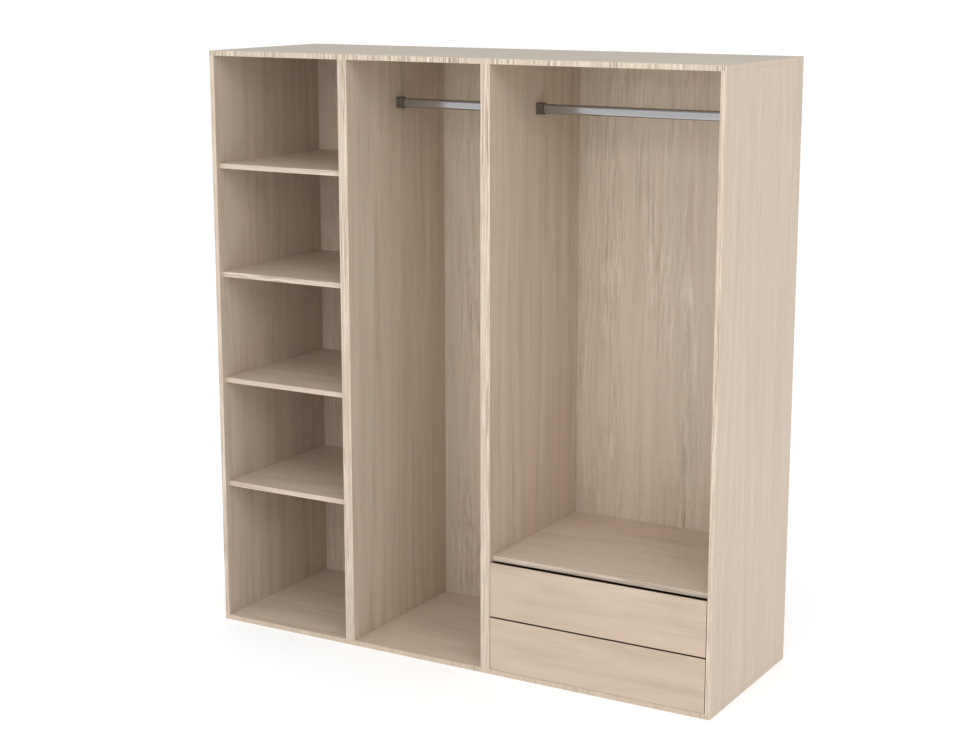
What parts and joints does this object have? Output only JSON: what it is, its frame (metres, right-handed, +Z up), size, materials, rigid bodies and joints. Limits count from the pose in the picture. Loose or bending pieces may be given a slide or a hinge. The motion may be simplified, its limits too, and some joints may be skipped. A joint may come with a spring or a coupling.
{
  "type": "wardrobe",
  "caption": "Open-fronted wardrobe of board carcasses bolted side by side, with shelves, hanging rails and drawers on ball bearing runners.",
  "frame": {"origin": "on the floor, at the middle of the footprint (1750 mm wide, 580 mm deep)", "axes": "+Z up, +X to the right seen from the front, the open front faces -Y"},
  "size_m": [1.75, 0.58, 1.875],
  "materials": {
    "oak_board": "pale bleached oak foil on particle board, satin, grain along each board",
    "oak_hardboard": "pale bleached oak foil on 3 mm hardboard, satin",
    "rail_metal": "satin silver tube",
    "bracket_plastic": "dark umber moulded plastic, matte",
    "fitting_zinc": "bright zinc plated",
    "runner_zinc": "zinc plated rolled steel",
    "beech_dowel": "plain turned beech"
  },
  "bodies": {
    "carcass": {"left_carcass_left_side": "oak_board", "left_carcass_right_side": "oak_board", "left_carcass_top": "oak_board", "left_carcass_bottom": "oak_board", "left_carcass_back": "oak_hardboard", "middle_carcass_left_side": "oak_board", "middle_carcass_right_side": "oak_board", "middle_carcass_top": "oak_board", "middle_carcass_bottom": "oak_board", "middle_carcass_back": "oak_hardboard", "right_carcass_left_side": "oak_board", "right_carcass_right_side": "oak_board", "right_carcass_top": "oak_board", "right_carcass_bottom": "oak_board", "right_carcass_back": "oak_hardboard", "shelf_1": "oak_board", "shelf_2": "oak_board", "shelf_3": "oak_board", "shelf_4": "oak_board", "drawer_shelf": "oak_board", "middle_rail": "rail_metal", "middle_rail_bracket_left": "bracket_plastic", "middle_rail_bracket_right": "bracket_plastic", "right_rail": "rail_metal", "right_rail_bracket_left": "bracket_plastic", "right_rail_bracket_right": "bracket_plastic", "shelf_pins": "fitting_zinc", "cams": "fitting_zinc", "cam_bolts": "fitting_zinc", "dowels": "beech_dowel", "link_sleeves": "fitting_zinc", "link_screws": "fitting_zinc", "bracket_screws": "fitting_zinc", "runner_screws": "fitting_zinc", "lower_carcass_runner_left": "runner_zinc", "lower_carcass_runner_right": "runner_zinc", "upper_carcass_runner_left": "runner_zinc", "upper_carcass_runner_right": "runner_zinc"},
    "lower_runner_middles": {"lower_middle_runner_left": "runner_zinc", "lower_middle_runner_right": "runner_zinc"},
    "upper_runner_middles": {"upper_middle_runner_left": "runner_zinc", "upper_middle_runner_right": "runner_zinc"},
    "lower_drawer": {"lower_drawer_front": "oak_board", "lower_drawer_left_side": "oak_board", "lower_drawer_right_side": "oak_board", "lower_drawer_rear": "oak_board", "lower_drawer_base": "oak_hardboard", "lower_drawer_dowels": "beech_dowel", "lower_drawer_runner_left": "runner_zinc", "lower_drawer_runner_right": "runner_zinc", "lower_drawer_screws": "fitting_zinc"},
    "upper_drawer": {"upper_drawer_front": "oak_board", "upper_drawer_left_side": "oak_board", "upper_drawer_right_side": "oak_board", "upper_drawer_rear": "oak_board", "upper_drawer_base": "oak_hardboard", "upper_drawer_dowels": "beech_dowel", "upper_drawer_runner_left": "runner_zinc", "upper_drawer_runner_right": "runner_zinc", "upper_drawer_screws": "fitting_zinc"}
  },
  "joints": [
    {"name": "upper_drawer_slide", "type": "slide", "parent": "carcass", "child": "upper_drawer", "axis": [0, -1, 0], "range_m": [0, 0.45]},
    {"name": "upper_runner_slide", "type": "slide", "parent": "carcass", "child": "upper_runner_middles", "axis": [0, -1, 0], "range_m": [0, 0.225]},
    {"name": "lower_drawer_slide", "type": "slide", "parent": "carcass", "child": "lower_drawer", "axis": [0, -1, 0], "range_m": [0, 0.45]},
    {"name": "lower_runner_slide", "type": "slide", "parent": "carcass", "child": "lower_runner_middles", "axis": [0, -1, 0], "range_m": [0, 0.225]}
  ],
  "couplings": [
    {"joint": "upper_runner_slide", "follows": "upper_drawer_slide", "ratio": 0.5},
    {"joint": "lower_runner_slide", "follows": "lower_drawer_slide", "ratio": 0.5}
  ]
}
